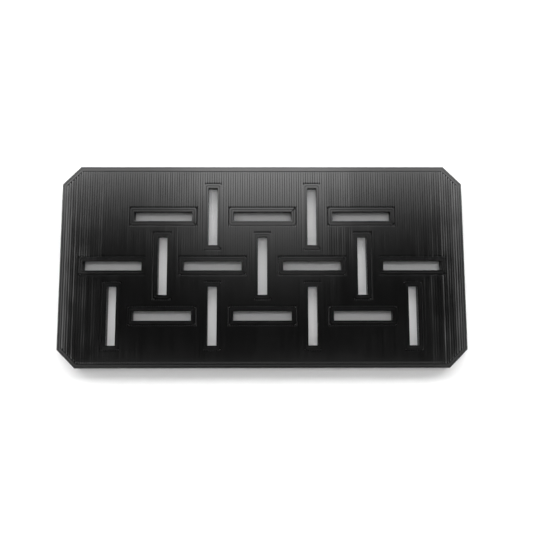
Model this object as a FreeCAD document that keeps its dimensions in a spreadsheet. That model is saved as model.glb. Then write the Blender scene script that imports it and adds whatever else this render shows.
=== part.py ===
import FreeCAD, Part
import os
import Sketcher

# A thin, rigid plate of basket-weave slots, printed flat on its underside in one
# plastic. Its long side is X and its short side is Y. It has four cut corners and
# narrow slots in three rows, which run in turn along X and along Y.
#
# The pieces are the regions that the printer's nozzle lays down: a wall round the
# plate, a wall round each slot, and between the walls a bottom skin, a core and a top
# skin. The origin is on the underside at the middle of the plate, with Z up.

COLUMNS = 7
ROW_NAMES = ["front", "middle", "back"]
ROWS = len(ROW_NAMES)
SHORT_ROW = "back"  # it has no slot in its two end columns

SIZES = [
    ("plate_length", 76.2, "plate along X"),
    ("plate_width", 38.1, "plate along Y"),
    ("corner_cut", 3.4, "each cut corner, along X and along Y"),
    ("slot_width", 1.75, "clear width of every slot"),
    ("bridge", 3.05, "plastic between a slot's end and the side of the next slot"),
    ("side_land", 4.34, "plastic beyond the slots, along X"),
    ("end_land", 4.14, "plastic beyond the slots, along Y"),
    ("outer_wall", 0.8, "width of the wall round the plate: two loops"),
    ("slot_wall", 0.8, "width of the wall round a slot: two loops"),
    ("bottom_skin", 0.4, "height of the bottom skin: two layers"),
    ("core", 0.6, "height of the core: three layers"),
    ("top_skin", 0.4, "height of the top skin: two layers"),
]

# Lengths worked out from the sheet. A reach is from the middle of the plate to the end
# of the last slot, and the pitch leaves one bridge between neighbouring slots.
PLATE_HEIGHT = "(Sizes.bottom_skin + Sizes.core + Sizes.top_skin)"
X_REACH = "(Sizes.plate_length / 2 - Sizes.side_land)"
Y_REACH = "(Sizes.plate_width / 2 - Sizes.end_land)"
X_PITCH = f"(({X_REACH} + Sizes.bridge + Sizes.slot_width / 2) * 2 / {COLUMNS + 1})"
Y_PITCH = f"(({Y_REACH} + Sizes.bridge + Sizes.slot_width / 2) * 2 / {ROWS + 1})"
X_SLOT_LENGTH = f"(2 * ({X_PITCH} - Sizes.bridge) - Sizes.slot_width)"
Y_SLOT_LENGTH = f"(2 * ({Y_PITCH} - Sizes.bridge) - Sizes.slot_width)"

ROUNDING = 6  # decimals kept of a wall's place, so that walls in line compare equal


def make_sheet(doc):
    """The driving dimensions, in millimetres."""
    sheet = doc.addObject("Spreadsheet::Sheet", "Sizes")
    for row, (alias, value, meaning) in enumerate(SIZES, start=1):
        sheet.set(f"A{row}", alias)
        sheet.set(f"B{row}", str(value))
        sheet.setAlias(f"B{row}", alias)
        sheet.set(f"C{row}", meaning)
    doc.recompute()
    return sheet


def flat_sketch(body, name):
    """A sketch on the body's own XY plane."""
    planes = [plane for plane in body.Origin.OriginFeatures if plane.Role == "XY_Plane"]
    sketch = body.newObject("Sketcher::SketchObject", name)
    sketch.AttachmentSupport = [(planes[0], "")]
    sketch.MapMode = "FlatFace"
    return sketch


def add_rectangle(sketch, name, x_size, y_size):
    """A rectangle about the sketch's origin, with both its sizes bound."""
    corners = [(-2, -1), (2, -1), (2, 1), (-2, 1)]
    points = [FreeCAD.Vector(x, y, 0) for x, y in corners]
    front = sketch.GeometryCount
    right, back, left = front + 1, front + 2, front + 3
    for start, end in zip(points, points[1:] + points[:1]):
        sketch.addGeometry(Part.LineSegment(start, end), False)
    for line, after in ((front, right), (right, back), (back, left), (left, front)):
        sketch.addConstraint(Sketcher.Constraint("Coincident", line, 2, after, 1))
    for line, direction in ((front, "X"), (right, "Y"), (back, "X"), (left, "Y")):
        level = "Horizontal" if direction == "X" else "Vertical"
        sketch.addConstraint(Sketcher.Constraint(level, line))
    sketch.addConstraint(Sketcher.Constraint("Symmetric", front, 1, back, 1, -1, 1))
    for line, direction, size in ((front, "X", x_size), (right, "Y", y_size)):
        distance = Sketcher.Constraint(f"Distance{direction}", line, 1, line, 2, 1.0)
        index = sketch.addConstraint(distance)
        sketch.renameConstraint(index, f"{name}_{direction.lower()}")
        sketch.setExpression(f"Constraints.{name}_{direction.lower()}", size)


def pad_to_plate_height(body, sketch):
    """Raises the sketch from the underside to the top of the plate."""
    pad = body.newObject("PartDesign::Pad", f"{body.Name}_pad")
    pad.Profile = sketch
    pad.setExpression("Length", PLATE_HEIGHT)
    return pad


def edges_along_z(shape):
    """The names of a prism's upright edges."""
    names = []
    for number, edge in enumerate(shape.Edges, start=1):
        if edge.BoundBox.XLength + edge.BoundBox.YLength < edge.BoundBox.ZLength:
            names.append(f"Edge{number}")
    return names


def level_faces(shape):
    """The names of a prism's top and bottom faces."""
    names = []
    for number, face in enumerate(shape.Faces, start=1):
        if abs(face.normalAt(0, 0).z) > 0.5:
            names.append(f"Face{number}")
    return names


def make_outer_wall(doc):
    """Two loops of plastic round the edge of the plate, at its full height."""
    body = doc.addObject("PartDesign::Body", "outer_wall")
    sketch = flat_sketch(body, "outer_wall_outline")
    add_rectangle(sketch, "plate", "Sizes.plate_length", "Sizes.plate_width")
    pad = pad_to_plate_height(body, sketch)
    doc.recompute()
    cut = body.newObject("PartDesign::Chamfer", "outer_wall_corners")
    cut.Base = (pad, edges_along_z(pad.Shape))
    cut.setExpression("Size", "Sizes.corner_cut")
    doc.recompute()
    ring = body.newObject("PartDesign::Thickness", "outer_wall_ring")
    ring.Base = (cut, level_faces(cut.Shape))
    ring.Join = "Intersection"
    ring.Reversed = True
    ring.setExpression("Value", "Sizes.outer_wall")
    body.Tip = ring
    return body


def runs_along_x(column, row):
    """Slots change direction from each to the next, like a woven basket."""
    return (column + row) % 2 == 1


def make_slot_wall(doc, column, row):
    """Two loops of plastic round one slot, at the plate's full height."""
    name = f"slot_wall_{ROW_NAMES[row]}_{column + 1}"
    x_size, y_size = "Sizes.slot_width", Y_SLOT_LENGTH
    if runs_along_x(column, row):
        x_size, y_size = X_SLOT_LENGTH, "Sizes.slot_width"
    body = doc.addObject("PartDesign::Body", name)
    sketch = flat_sketch(body, f"{name}_outline")
    add_rectangle(sketch, "slot", x_size, y_size)
    both_walls = "2 * Sizes.slot_wall"
    add_rectangle(sketch, "wall", f"{x_size} + {both_walls}", f"{y_size} + {both_walls}")
    body.Tip = pad_to_plate_height(body, sketch)
    body.setExpression("Placement.Base.x", f"{X_PITCH} * {column - (COLUMNS - 1) / 2}")
    body.setExpression("Placement.Base.y", f"{Y_PITCH} * {row - (ROWS - 1) / 2}")
    return body


def make_slot_walls(doc):
    """The walls of all the slots, row by row from the front."""
    walls = []
    for row in range(ROWS):
        spare = 1 if ROW_NAMES[row] == SHORT_ROW else 0
        for column in range(spare, COLUMNS - spare):
            walls.append(make_slot_wall(doc, column, row))
    return walls


def inner_outline(outer_wall):
    """The face, on the underside, that the outer wall encloses."""
    floor = min(outer_wall.Shape.Faces, key=lambda face: face.CenterOfMass.z)
    inner = [wire for wire in floor.Wires if not wire.isSame(floor.OuterWire)]
    return Part.Face(inner[0])


def free_spans(walls, low, high, x):
    """The stretches of Y between low and high that no wall takes up at this X."""
    spans = []
    start = low
    taken = sorted(wall[2:] for wall in walls if wall[0] < x < wall[1])
    for wall_low, wall_high in taken + [(high, high)]:
        if wall_low > start:
            spans.append((start, wall_low))
        start = wall_high
    return spans


def raster_regions(outline, slot_walls):
    """The rectangles, as (low x, high x, low y, high y), that the nozzle fills in one
    go. It lays lines along Y and steps along X, and it starts another region where a
    slot's wall begins or ends across its lines."""
    walls = []
    for body in slot_walls:
        box = body.Shape.BoundBox
        sides = (box.XMin, box.XMax, box.YMin, box.YMax)
        walls.append(tuple(round(side, ROUNDING) for side in sides))
    area = outline.BoundBox
    stops = sorted({area.XMin, area.XMax, *(x for wall in walls for x in wall[:2])})
    regions = []
    begun = {}
    for left, right in zip(stops, stops[1:] + [None]):
        spans = []
        if right is not None:
            spans = free_spans(walls, area.YMin, area.YMax, (left + right) / 2)
        for span in [span for span in begun if span not in spans]:
            regions.append((begun.pop(span), left, *span))
        for span in spans:
            begun.setdefault(span, left)
    return regions


def make_fill(doc, name, outline, regions, base, height):
    """One skin or core: a solid for each raster region, cut to the outer wall."""
    room = outline.extrude(FreeCAD.Vector(0, 0, height))
    solids = []
    for left, right, low, high in regions:
        corner = FreeCAD.Vector(left, low, 0)
        block = Part.makeBox(right - left, high - low, height, corner)
        solids += block.common(room).Solids
    fill = doc.addObject("Part::Feature", name)
    fill.Shape = Part.makeCompound(solids)
    fill.Placement.Base = FreeCAD.Vector(0, 0, base)
    return fill


def make_fills(doc, sheet, outer_wall, slot_walls):
    """The bottom skin, the core and the top skin, one on another."""
    outline = inner_outline(outer_wall)
    regions = raster_regions(outline, slot_walls)
    fills = []
    base = 0.0
    for name in ("bottom_skin", "core", "top_skin"):
        height = float(sheet.get(name))
        fills.append(make_fill(doc, name, outline, regions, base, height))
        base += height
    return fills


def check(doc, pieces):
    """Stops on a failed object, or on a piece with no sound solid."""
    for thing in doc.Objects:
        if "Invalid" in thing.State or "Error" in thing.State:
            raise RuntimeError(f"{thing.Name} failed: {thing.State}")
    for piece in pieces:
        shape = piece.Shape
        if shape.isNull() or not shape.isValid() or not shape.Solids:
            raise RuntimeError(f"{piece.Label} has no sound solid")


doc = FreeCAD.newDocument("slot_plate")
sheet = make_sheet(doc)
outer_wall = make_outer_wall(doc)
slot_walls = make_slot_walls(doc)
doc.recompute()
fills = make_fills(doc, sheet, outer_wall, slot_walls)
doc.recompute()

pieces = [outer_wall, *slot_walls, *fills]
check(doc, pieces)
os.makedirs("parts", exist_ok=True)
for piece in pieces:
    piece.Shape.exportStep(f"parts/{piece.Label}.step")
    print(piece.Label, len(piece.Shape.Solids), round(piece.Shape.Volume, 3))
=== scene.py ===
import random
from math import acos, copysign, cos, pi, radians, sin, sqrt, tan

import bmesh
import bpy
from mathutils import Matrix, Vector, noise


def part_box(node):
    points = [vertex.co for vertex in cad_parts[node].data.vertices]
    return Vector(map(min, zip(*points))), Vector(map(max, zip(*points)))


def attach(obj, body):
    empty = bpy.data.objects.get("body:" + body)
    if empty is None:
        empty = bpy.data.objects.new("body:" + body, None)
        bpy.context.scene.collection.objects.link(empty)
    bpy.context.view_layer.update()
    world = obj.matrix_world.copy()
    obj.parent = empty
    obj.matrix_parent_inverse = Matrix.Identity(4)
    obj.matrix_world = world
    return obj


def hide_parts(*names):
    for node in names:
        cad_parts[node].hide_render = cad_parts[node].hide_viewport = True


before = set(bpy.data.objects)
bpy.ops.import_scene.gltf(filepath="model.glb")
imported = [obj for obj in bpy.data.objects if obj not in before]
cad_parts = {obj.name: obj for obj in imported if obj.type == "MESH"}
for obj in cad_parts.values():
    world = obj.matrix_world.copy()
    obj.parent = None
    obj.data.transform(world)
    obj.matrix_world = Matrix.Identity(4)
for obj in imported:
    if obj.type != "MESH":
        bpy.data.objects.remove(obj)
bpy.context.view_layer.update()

# ---- The bench ----
# The plate lies flat on a sheet of matt white paper. The light is that of a bright room
# with a window beyond the plate's back edge. Something dark is held level over the
# plate, as a hand or a hood is, so its satin top is darkest in the middle.

MM = 0.001
FLOOR_SIZE = 4000 * MM
PAPER_TOOTH = 0.3 * MM


def linear(value):
    """One sRGB channel, 0 to 1, as linear light."""
    return value / 12.92 if value <= 0.04045 else ((value + 0.055) / 1.055) ** 2.4


def colour(text):
    """A colour written as sRGB hex, such as "#1A1A1B", as linear RGBA."""
    return tuple(linear(int(text[i : i + 2], 16) / 255) for i in (1, 3, 5)) + (1.0,)


def add_node(tree, kind, settings=None, inputs=None):
    """A shader node with its settings. An input is a value, or an output to link."""
    node = tree.nodes.new(kind)
    for name, value in (settings or {}).items():
        setattr(node, name, value)
    for name, value in (inputs or {}).items():
        if isinstance(value, bpy.types.NodeSocket):
            tree.links.new(value, node.inputs[name])
        else:
            node.inputs[name].default_value = value
    return node


def new_material(name, **values):
    """A material with one Principled shader, whose plain values are set on it."""
    material = bpy.data.materials.new(name)
    material.use_nodes = True
    shader = material.node_tree.nodes["Principled BSDF"]
    for socket, value in values.items():
        shader.inputs[socket.replace("_", " ")].default_value = value
    return material, material.node_tree, shader


def matt_paper():
    """White paper, uncoated. The eye sees no gloss, and hardly its faint tooth."""
    material, tree, shader = new_material("Paper, white uncoated", Roughness=0.9)
    place = add_node(tree, "ShaderNodeTexCoord").outputs["Object"]
    grain = {"Vector": place, "Scale": 1 / PAPER_TOOTH, "Detail": 2.0}
    tooth = add_node(tree, "ShaderNodeTexNoise", inputs=grain)
    tint = add_node(tree, "ShaderNodeValToRGB", inputs={"Fac": tooth.outputs["Fac"]})
    tint.color_ramp.elements[0].color = colour("#F2F2F2")
    tint.color_ramp.elements[1].color = colour("#F7F7F7")
    tree.links.new(tint.outputs["Color"], shader.inputs["Base Color"])
    return material


def make_floor():
    """The sheet of paper, far larger than the plate, just under it."""
    half = FLOOR_SIZE / 2
    mesh = bpy.data.meshes.new("floor")
    corners = [(-half, -half, 0), (half, -half, 0), (half, half, 0), (-half, half, 0)]
    mesh.from_pydata(corners, [], [(0, 1, 2, 3)])
    floor = bpy.data.objects.new("floor", mesh)
    floor.data.materials.append(matt_paper())
    bpy.context.scene.collection.objects.link(floor)


# The room's light depends only on its direction. Three slopes say how far a direction
# leans from straight up: aside to either side, ahead to the back, toward to the front.
LOWEST = 0.02  # directions nearer to level than this count as this one
SLOPES = (
    ("height", "MAXIMUM", "z", LOWEST),
    ("ahead", "DIVIDE", "y", "height"),
    ("across", "DIVIDE", "x", "height"),
    ("aside", "ABSOLUTE", "across"),
    ("toward", "MULTIPLY", "ahead", -1.0),
)
# The soft edges of the lights. Each row has a name, the slope that it runs along, where
# it starts and ends on that slope, and the share of the light at its start and its end.
EDGES = (
    ("off_middle", "aside", 0.08, 0.25, 0.0, 1.0),
    ("lamp_rise", "ahead", -0.1, 0.4, 0.0, 1.0),
    ("lamp_corners", "off_middle", 0.0, 1.0, 1.0, 0.8),
    ("lamp_back", "ahead", 0.37, 0.44, 1.0, 0.02),
    ("lamp_ends", "aside", 0.4, 0.5, 1.0, 0.02),
    ("strip_inside", "aside", 0.355, 0.425, 0.0, 1.0),
    ("strip_outside", "aside", 0.42, 0.5, 1.0, 0.05),
    ("strip_front", "ahead", -0.3, -0.15, 0.0, 1.0),
    ("band_back", "toward", 0.07, 0.115, 0.0, 1.0),
    ("band_front", "toward", 0.13, 0.2, 1.0, 0.0),
    ("band_ends", "aside", 0.45, 0.7, 1.0, 0.1),
    ("window_foot", "ahead", 0.9, 1.9, 0.0, 1.0),
    ("window_middle", "aside", 0.7, 1.4, 0.4, 1.0),
    ("fill_back", "toward", 0.9, 1.6, 0.0, 1.0),
    ("horizon", "z", 0.0, 0.12, 1.0, 0.0),
)
# The lamp grows brighter to the back along a curve, which is steeper off the middle.
LAMP_CURVE = 2.7
LAMP_SIDE_CURVE = 2.4
# How much of a light the plate's gloss mirrors, and how much of it falls on matt paper.
# The window lights the paper through the slots, but would wash out the gloss. The lights
# overhead show in the gloss, and would brighten the paper in the slots too much.
RAY_SHARES = (
    ("overhead", 1.0, 0.5),
    ("window", 0.05, 1.0),
    ("fill", 0.33, 1.0),
)
# Each light's strength and what it is multiplied by: the lamp beyond the dark object, the
# strips at its two sides, the band in front of it, the window, the room in front, and
# the pale walls at the height of the bench.
LIGHTS = (
    (9.5, "lamp_climb", "lamp_corners", "lamp_back", "lamp_ends", "overhead"),
    (5.0, "strip_inside", "strip_outside", "strip_front", "overhead"),
    (2.1, "band_back", "band_front", "band_ends", "overhead"),
    (15.0, "window_foot", "window_middle", "window"),
    (2.4, "fill_back", "fill"),
    (1.0, "horizon"),
)
DARK_LIGHT = 0.03  # what the dark object overhead gives


def make_room():
    """The sky. Its strength is worked out in steps: the slopes, the edges, the lights,
    and their total. The camera sees white behind the bench."""
    steps = list(SLOPES)
    steps += [(name, "SMOOTHSTEP", *terms) for name, *terms in EDGES]
    steps.append(("curve", "MULTIPLY_ADD", "off_middle", LAMP_SIDE_CURVE, LAMP_CURVE))
    steps.append(("lamp_climb", "POWER", "lamp_rise", "curve"))
    for name, mirrored, lit in RAY_SHARES:
        steps.append((name, "MULTIPLY_ADD", "glossy_ray", mirrored - lit, lit))
    for strength, *shares in LIGHTS:
        steps.append(("light", "MULTIPLY", strength, shares[0]))
        for share in shares[1:]:
            steps.append(("light", "MULTIPLY", "light", share))
        steps.append(("total", "ADD", "total", "light"))
    steps.append(("sky", "MAXIMUM", "total", "camera_ray"))

    world = bpy.data.worlds.new("room")
    world.use_nodes = True
    tree = world.node_tree
    way = add_node(tree, "ShaderNodeTexCoord").outputs["Generated"]
    parts = add_node(tree, "ShaderNodeSeparateXYZ", inputs={"Vector": way}).outputs
    rays = add_node(tree, "ShaderNodeLightPath").outputs
    known = {"x": parts["X"], "y": parts["Y"], "z": parts["Z"], "total": DARK_LIGHT}
    known |= {"glossy_ray": rays["Is Glossy Ray"], "camera_ray": rays["Is Camera Ray"]}
    ends = ("Value", "From Min", "From Max", "To Min", "To Max")
    for name, kind, *terms in steps:
        terms = [known.get(term, term) for term in terms]
        if kind == "SMOOTHSTEP":
            settings, inputs = {"interpolation_type": kind}, dict(zip(ends, terms))
            node = add_node(tree, "ShaderNodeMapRange", settings, inputs)
        else:
            settings, inputs = {"operation": kind}, dict(enumerate(terms))
            node = add_node(tree, "ShaderNodeMath", settings, inputs)
        known[name] = node.outputs[0]
    sky = tree.nodes["Background"]
    sky.inputs["Color"].default_value = (1, 1, 1, 1)
    tree.links.new(known["sky"], sky.inputs["Strength"])
    bpy.context.scene.world = world


CAMERA_PLACE = (0.40 * MM, -10.90 * MM, 101.53 * MM)
CAMERA_TURN = (6.01, -0.31, -0.08)  # degrees about X, Y and Z
SENSOR = 36.0  # mm, as long as the lens, so the view is about 53 degrees across


def make_camera():
    """Looks down from just in front of the plate's middle, tipped a little forward."""
    camera = bpy.data.objects.new("camera", bpy.data.cameras.new("camera"))
    camera.data.lens = SENSOR
    camera.data.sensor_width = SENSOR
    camera.data.clip_start = 5 * MM
    camera.location = CAMERA_PLACE
    camera.rotation_euler = [radians(turn) for turn in CAMERA_TURN]
    bpy.context.scene.collection.objects.link(camera)
    bpy.context.scene.camera = camera


make_floor()
make_room()
make_camera()
bpy.context.scene.view_settings.view_transform = "Standard"

# ---- The outer wall ----
# Two loops of black PLA run round the plate, one inside the other, and are laid again
# in each of the seven layers. The nozzle leaves every loop rounded, so the edge of the
# plate shows seven fine ribs and its top shows two crowned bands.

LAYER = 0.2 * MM
LOOPS = 2
RIB_DEPTH = 0.03 * MM  # how far the joint between two layers sits back
# One layer's edge: (how far up the layer, share of the rib's depth).
RIB = ((0.0, 1.0), (0.12, 0.45), (0.3, 0.1), (0.7, 0.1), (0.88, 0.45))
# Half of a bead's back: (share of its half width, how far it lies under the crest). It is
# nearly flat, as the nozzle leaves it, and falls steeply to the joint with the next bead.
CROWN = ((0.0, 0.0), (0.75, 0.0015 * MM), (0.9, 0.02 * MM), (1.0, 0.042 * MM))
PRESSED_DEPTH = 0.02 * MM  # the grooves of the underside, which the bed presses flat
PRESSED_FLAT = (0.15, 0.85)  # where a loop's underside is flat, as shares of its width
BROAD = 0.1 * MM  # faces wider than this are the beads' flat backs
TURN_STEPS = 4  # points in each rounded corner, less one
STATION = 1.1 * MM  # a wall's straight runs are divided about this far apart

STREAK_SIZE = 1 * MM
CLOUD_SIZE = 7 * MM
GRAIN_SIZE = 0.12 * MM  # really half that, and drawn as coarse as it needs to show
GLOSSIER = 0.03  # how far the roughness goes under and over its middle
DULLER = 0.02

plate_low, plate_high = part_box("outer_wall")
top = plate_high.z
layer_count = round((plate_high.z - plate_low.z) / LAYER)


def black_pla(name, roughness, streak, grain_depth, shine=0.5):
    """Black PLA from the nozzle. The eye sees a deep black with a clean satin gloss,
    a little glossier in some lines than others. The streaks follow the printed lines.
    Shine is how much light the gloss throws back, with 0.5 for smooth plastic."""
    material, tree, shader = new_material(name, IOR=1.46)
    shader.inputs["Specular IOR Level"].default_value = shine
    place = add_node(tree, "ShaderNodeTexCoord").outputs["Object"]
    stretched = add_node(
        tree,
        "ShaderNodeMapping",
        inputs={"Vector": place, "Scale": streak},
    )
    lines = add_node(
        tree,
        "ShaderNodeTexNoise",
        inputs={
            "Vector": stretched.outputs["Vector"],
            "Scale": 1 / STREAK_SIZE,
            "Detail": 3.0,
        },
    )
    clouds = add_node(
        tree,
        "ShaderNodeTexNoise",
        inputs={"Vector": place, "Scale": 1 / CLOUD_SIZE, "Detail": 2.0},
    )
    both = add_node(
        tree,
        "ShaderNodeMath",
        {"operation": "ADD"},
        {0: lines.outputs["Fac"], 1: clouds.outputs["Fac"]},
    )
    gloss = add_node(
        tree,
        "ShaderNodeMapRange",
        inputs={
            "Value": both.outputs["Value"],
            "From Min": 0.7,
            "From Max": 1.3,
            "To Min": roughness - GLOSSIER,
            "To Max": roughness + DULLER,
        },
    )
    tree.links.new(gloss.outputs["Result"], shader.inputs["Roughness"])
    tint = add_node(tree, "ShaderNodeValToRGB", inputs={"Fac": lines.outputs["Fac"]})
    tint.color_ramp.elements[0].color = colour("#030303")
    tint.color_ramp.elements[1].color = colour("#080808")
    tree.links.new(tint.outputs["Color"], shader.inputs["Base Color"])
    grain = add_node(
        tree,
        "ShaderNodeTexNoise",
        inputs={"Vector": place, "Scale": 1 / GRAIN_SIZE, "Detail": 3.0},
    )
    bump = add_node(
        tree,
        "ShaderNodeBump",
        inputs={"Height": grain.outputs["Fac"], "Strength": 1.0, "Distance": grain_depth},
    )
    tree.links.new(bump.outputs["Normal"], shader.inputs["Normal"])
    return material


def cut_rectangle(half_x, half_y, cut):
    """The corners of a rectangle about the middle, anticlockwise, with its own corners
    cut off at 45 degrees where cut is over 0."""
    corners = []
    for side_x, side_y in ((1, -1), (1, 1), (-1, 1), (-1, -1)):
        along_x = (side_x * (half_x - cut), side_y * half_y)
        along_y = (side_x * half_x, side_y * (half_y - cut))
        pair = [along_x, along_y] if side_x * side_y < 0 else [along_y, along_x]
        corners += pair if cut > 0 else pair[:1]
    return [Vector(corner) for corner in corners]


def rounded_loop(corners, radius, divisions):
    """The points of a closed run through the corners, each rounded to the radius, with
    the straight run that leaves corner i divided divisions[i] times."""
    arcs = []
    for i, corner in enumerate(corners):
        back = (corners[i - 1] - corner).normalized()
        on = (corners[(i + 1) % len(corners)] - corner).normalized()
        half_turn = acos(max(-1, min(1, back.dot(on)))) / 2
        setback = radius / tan(half_turn)
        start = corner + back * setback
        end = corner + on * setback
        centre = corner + (back + on).normalized() * (radius / sin(half_turn))
        sweep = (pi - 2 * half_turn) / TURN_STEPS
        first = start - centre
        arc = []
        for step in range(TURN_STEPS + 1):
            c, s = cos(sweep * step), sin(sweep * step)
            turned = Vector((first.x * c - first.y * s, first.x * s + first.y * c))
            arc.append(centre + turned)
        arc[-1] = end
        arcs.append(arc)
    points = []
    for i, arc in enumerate(arcs):
        points += arc
        end, onward = arc[-1], arcs[(i + 1) % len(arcs)][0]
        for step in range(1, divisions[i]):
            points.append(end.lerp(onward, step / divisions[i]))
    return points


def ring_mesh(name, outlines):
    """A closed solid ring. Each outline is one line of the wall's section, carried
    round the ring, and the outlines go round the section in order. The broad backs stay
    flat, so that they mirror one direction, and the rest is smooth."""
    count = len(outlines[0])
    mesh = bpy.data.meshes.new(name)
    shape = bmesh.new()
    rows = [[shape.verts.new(point) for point in outline] for outline in outlines]
    for i, row in enumerate(rows):
        after = rows[(i + 1) % len(rows)]
        step = (row[0].co - after[0].co).length
        for k in range(count):
            next_k = (k + 1) % count
            face = shape.faces.new((row[k], row[next_k], after[next_k], after[k]))
            face.smooth = step < BROAD
    bmesh.ops.recalc_face_normals(shape, faces=shape.faces)
    shape.to_mesh(mesh)
    shape.free()
    return mesh


def crown():
    """A bead's whole back as (side, fall) points, with side from -1 to 1 across it."""
    return [(-side, fall) for side, fall in reversed(CROWN[1:])] + list(CROWN)


def wall_section(width):
    """A wall's section as (depth, height) points: depth is 0 on the face that shows,
    and width on the face that the fill covers. The face has a rib for each layer, and
    the top has a crown for each loop. The last loop's far side stays high, because the
    fill is pressed against it."""
    section = []
    for layer in range(layer_count):
        for part, sunk in RIB:
            section.append((RIB_DEPTH * sunk, (layer + part) * LAYER))
    loop = width / LOOPS
    for number in range(LOOPS):
        for side, fall in crown()[:-1]:
            if number == LOOPS - 1 and side > 0:
                fall = CROWN[1][1]
            depth = max(RIB_DEPTH, (number + 0.5 + side / 2) * loop)
            section.append((depth, top - fall))
    section.append((width, top - CROWN[1][1]))
    section.append((width, PRESSED_DEPTH))
    for number in reversed(range(LOOPS)):
        for share in reversed(PRESSED_FLAT):
            section.append(((number + share) * loop, 0.0))
        if number:
            section.append((number * loop, PRESSED_DEPTH))
    return section


def place_piece(name, mesh, material, *nodes):
    """Links a piece that stands for these CAD nodes, and gives it its material."""
    piece = bpy.data.objects.new(name, mesh)
    piece.data.materials.append(material)
    bpy.context.scene.collection.objects.link(piece)
    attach(piece, "root")
    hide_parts(*nodes)
    return piece


def divisions_for(corners):
    """How many stations each straight run takes."""
    runs = zip(corners, corners[1:] + corners[:1])
    return [max(1, round((end - start).length / STATION)) for start, end in runs]


OUTER_WALL = 0.8 * MM
CORNER_CUT = 3.4 * MM
OUTER_TURN = 0.12 * MM  # radius of the plate's own corners

FRESH_ROUGHNESS = 0.11  # a bead as the nozzle leaves it
FRESH_GRAIN = 0.001 * MM  # the depth of its grain
LAYER_STREAK = (1, 1, 5)  # finer along Z, so that each layer's gloss differs
# The loops catch a thin line of light on each crest.
wall_pla = black_pla(
    "PLA, black, laid as wall loops", FRESH_ROUGHNESS, LAYER_STREAK, FRESH_GRAIN
)


def make_outer_wall():
    """Carries the section round the plate's outline."""
    half_x, half_y = plate_high.x, plate_high.y
    divisions = divisions_for(cut_rectangle(half_x, half_y, CORNER_CUT))
    outlines = []
    for depth, height in wall_section(OUTER_WALL):
        cut = CORNER_CUT - depth * (2 - sqrt(2))
        corners = cut_rectangle(half_x - depth, half_y - depth, cut)
        loop = rounded_loop(corners, OUTER_TURN, divisions)
        outlines.append([(point.x, point.y, height) for point in loop])
    mesh = ring_mesh("outer_wall_loops", outlines)
    place_piece("outer_wall_loops", mesh, wall_pla, "outer_wall")


make_outer_wall()

# ---- The slot walls ----
# Two loops of the same PLA run round every slot. The nozzle can't turn a sharp corner,
# so the outside of each loop is rounded there and leaves a small pit, and each loop
# starts and ends at one corner, where a fine diagonal seam shows.

SLOT_WALL = 0.8 * MM
SLOT_TURN = 0.07 * MM  # radius of a slot's own corners
TURN_GROWTH = 0.42  # what a loop's corner radius gains with the distance from the slot
SEAM_DEPTH = 0.16 * MM  # how deep the seam is in the last layer, the only one it marks
SEAM_CORNERS = (0, 0, 0, 1)  # most loops start at their front right corner
# How much gloss the slot loops throw back: less than the plate's 0.5, as painted shade.
LOOP_SHINE_PAINTED_SHADE = 0.42
# The loops round the slots throw back less gloss than the rest of the plate, though they
# are the same PLA. It is painted shade, so they read as faint dark frames round the
# slots.
slot_pla_painted_shade = black_pla(
    "PLA, black, laid round slots, gloss dimmed as painted shade",
    FRESH_ROUGHNESS,
    LAYER_STREAK,
    FRESH_GRAIN,
    LOOP_SHINE_PAINTED_SHADE,
)


def make_slot_wall(node, seam_corner):
    """Carries the section round one slot."""
    low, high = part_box(node)
    middle = (low + high) / 2
    half_x = (high.x - low.x) / 2 - SLOT_WALL
    half_y = (high.y - low.y) / 2 - SLOT_WALL
    divisions = divisions_for(cut_rectangle(half_x, half_y, 0))
    seam = sum(TURN_STEPS + divisions[i] for i in range(seam_corner)) + TURN_STEPS // 2
    outlines = []
    for depth, height in wall_section(SLOT_WALL):
        corners = cut_rectangle(half_x + depth, half_y + depth, 0)
        loop = rounded_loop(corners, SLOT_TURN + TURN_GROWTH * depth, divisions)
        outline = []
        for number, point in enumerate(loop):
            in_seam = number == seam and height > top - LAYER
            sunk = SEAM_DEPTH if in_seam else 0
            x, y = middle.x + point.x, middle.y + point.y
            outline.append((x, y, height - sunk))
        outlines.append(outline)
    name = f"{node}_loops"
    place_piece(name, ring_mesh(name, outlines), slot_pla_painted_shade, node)


slot_wall_nodes = sorted(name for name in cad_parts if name.startswith("slot_wall"))
draw = random.Random(7)
for node in slot_wall_nodes:
    make_slot_wall(node, draw.choice(SEAM_CORNERS))

# ---- The top skin ----
# Straight lines of PLA, laid side by side along Y, close the top. Each is a flattened
# bead with a crowned back. It ends in a taper at the walls, so a row of tiny pits runs
# along them.

LINE_SPACING = 0.4467 * MM
LINE_STATION = 2.2 * MM  # a line is divided about this far apart
LINE_LEAN = 0.0028 * MM  # how far a line's edge may stand over or under its middle
LEAN_SPACING = 2.5 * MM  # how soon the lean changes along a line
END_LENGTH = 0.34 * MM
END_STEPS = (0.0, 0.2, 0.45, 0.7)  # shares of the tapered end's length
END_CURVE = 0.75  # under 1, so that the taper widens quickly and then slowly
END_WIDTH = 0.05  # the share of its width that a line has at its very tip
END_DROP = 0.006 * MM  # how far the tip sinks
WALL_LAP = 0.1  # the share of a spacing by which a line's middle may clear a wall
SHORTEST = 0.5 * MM  # gaps shorter than this get no line

top_low, top_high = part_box("top_skin")
slot_boxes = [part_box(node) for node in slot_wall_nodes]


def line_places():
    """The X of each line, and the spacing. They divide the skin's length evenly."""
    count = round((top_high.x - top_low.x) / LINE_SPACING)
    spacing = (top_high.x - top_low.x) / count
    return [top_low.x + (number + 0.5) * spacing for number in range(count)], spacing


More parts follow.
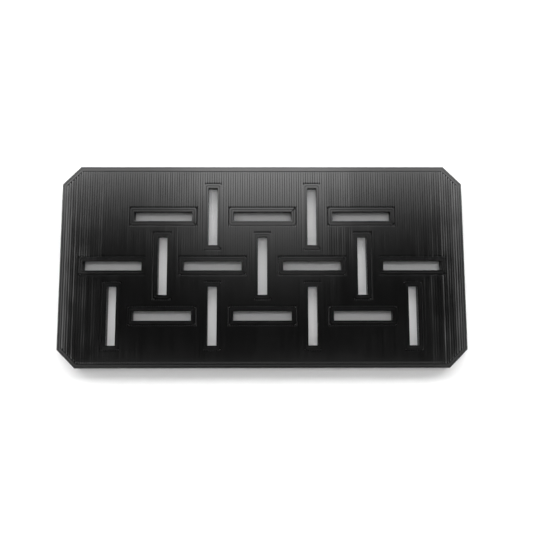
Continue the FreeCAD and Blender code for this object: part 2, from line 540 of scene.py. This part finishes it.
def line_spans(x, spacing):
    """The stretches of Y that a line at this X fills."""
    cut_inset = CORNER_CUT - OUTER_WALL * (2 - sqrt(2))
    beyond = abs(x) - (top_high.x - cut_inset)
    end = top_high.y - max(0.0, beyond)
    margin = WALL_LAP * spacing
    taken = sorted(
        (low.y, high.y)
        for low, high in slot_boxes
        if low.x - margin < x < high.x + margin
    )
    spans = []
    start = -end
    for low_y, high_y in taken + [(end, end)]:
        if low_y - start > SHORTEST:
            spans.append((start, low_y))
        start = high_y
    return spans


def line_stations(start, end):
    """(Y, share of the full width) along one line, with both ends tapered."""
    stations = []
    for share in END_STEPS:
        stations.append((start + share * END_LENGTH, share))
    inner_start, inner_end = start + END_LENGTH, end - END_LENGTH
    count = max(1, round((inner_end - inner_start) / LINE_STATION))
    for step in range(count + 1):
        stations.append((inner_start + (inner_end - inner_start) * step / count, 1.0))
    for share in reversed(END_STEPS):
        stations.append((end - share * END_LENGTH, share))
    return [(y, share**END_CURVE) for y, share in stations]


def add_line(shape, x, spacing, span, section, base):
    """One closed bead. Its section is (side, height over base) points round the bead,
    with side from -1 to 1, and with height under 0 for a bead that hangs. It narrows and
    sinks at both ends, and leans to one side, because the line before lifts that edge."""
    half = spacing / 2
    lean = draw.uniform(-LINE_LEAN, LINE_LEAN)
    rows = []
    for y, full in line_stations(*span):
        here = lean + LINE_LEAN * noise.noise(Vector((x, y, base)) / LEAN_SPACING)
        across = half * (END_WIDTH + (1 - END_WIDTH) * full)
        row = []
        for side, height in section:
            drop = END_DROP * (1 - full) + abs(here) - side * here
            rise = height - copysign(drop, height) if height else 0.0
            row.append(shape.verts.new((x + side * across, y, base + rise)))
        rows.append(row)
    for row, after in zip(rows, rows[1:]):
        for k in range(len(section)):
            next_k = (k + 1) % len(section)
            shape.faces.new((row[k], row[next_k], after[next_k], after[k]))
    shape.faces.new(rows[0])
    shape.faces.new(reversed(rows[-1]))


def crowned_section(height):
    """The section of a line in the top skin, from its left foot over its back."""
    back = [(side, height - fall) for side, fall in crown()]
    return [(-1, 0.0)] + back + [(1, 0.0)]


def lay_lines(name, section, base, material, node):
    """Lays all the lines of one skin in one mesh, which stands for the CAD node."""
    shape = bmesh.new()
    places, spacing = line_places()
    for x in places:
        for span in line_spans(x, spacing):
            add_line(shape, x, spacing, span, section, base)
    bmesh.ops.recalc_face_normals(shape, faces=shape.faces)
    mesh = bpy.data.meshes.new(name)
    shape.to_mesh(mesh)
    shape.free()
    place_piece(name, mesh, material, node)


LINE_STREAK = (2.2, 0.12, 1)  # about one line wide, and long along Y
# The broad backs mirror the dark object overhead, so the middle of the plate is black.
line_pla = black_pla(
    "PLA, black, laid in lines", FRESH_ROUGHNESS, LINE_STREAK, FRESH_GRAIN
)
lay_lines(
    "top_skin_lines",
    crowned_section(top_high.z - top_low.z),
    top_low.z,
    line_pla,
    "top_skin",
)

# ---- The core ----
# Three solid layers of PLA between the skins, laid by the same nozzle. They are shut in
# by the skins and the walls, and are welded to them.

CORE_ROUGHNESS = 0.5
CORE_GRAIN = 0.004 * MM
# Nothing of it shows. Cut open, it would be duller than the outside.
core_pla = black_pla("PLA, black, inner layers", CORE_ROUGHNESS, LAYER_STREAK, CORE_GRAIN)
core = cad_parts["core"]
core.data.materials.clear()
core.data.materials.append(core_pla)

# ---- The bottom skin ----
# The first lines of the print, laid along Y like the top ones. The bed pressed them
# flat, so this side is smoother, with hair-thin grooves between the lines.

bottom_low, bottom_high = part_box("bottom_skin")
GROOVE_START = 0.85  # share of a line's half width that is quite flat


def pressed_section(height):
    """The section of a line in the bottom skin, hung from its flat upper side."""
    section = [(-1, 0.0)]
    for side in (-1, -GROOVE_START, GROOVE_START, 1):
        section.append((side, -height + (PRESSED_DEPTH if abs(side) == 1 else 0.0)))
    section.append((1, 0.0))
    return section


BED_ROUGHNESS = 0.2
# The bed's own surface leaves it even and a little less glossy than the top.
bed_pla = black_pla(
    "PLA, black, pressed on the bed", BED_ROUGHNESS, LINE_STREAK, FRESH_GRAIN
)
lay_lines(
    "bottom_skin_lines",
    pressed_section(bottom_high.z - bottom_low.z),
    bottom_high.z,
    bed_pla,
    "bottom_skin",
)
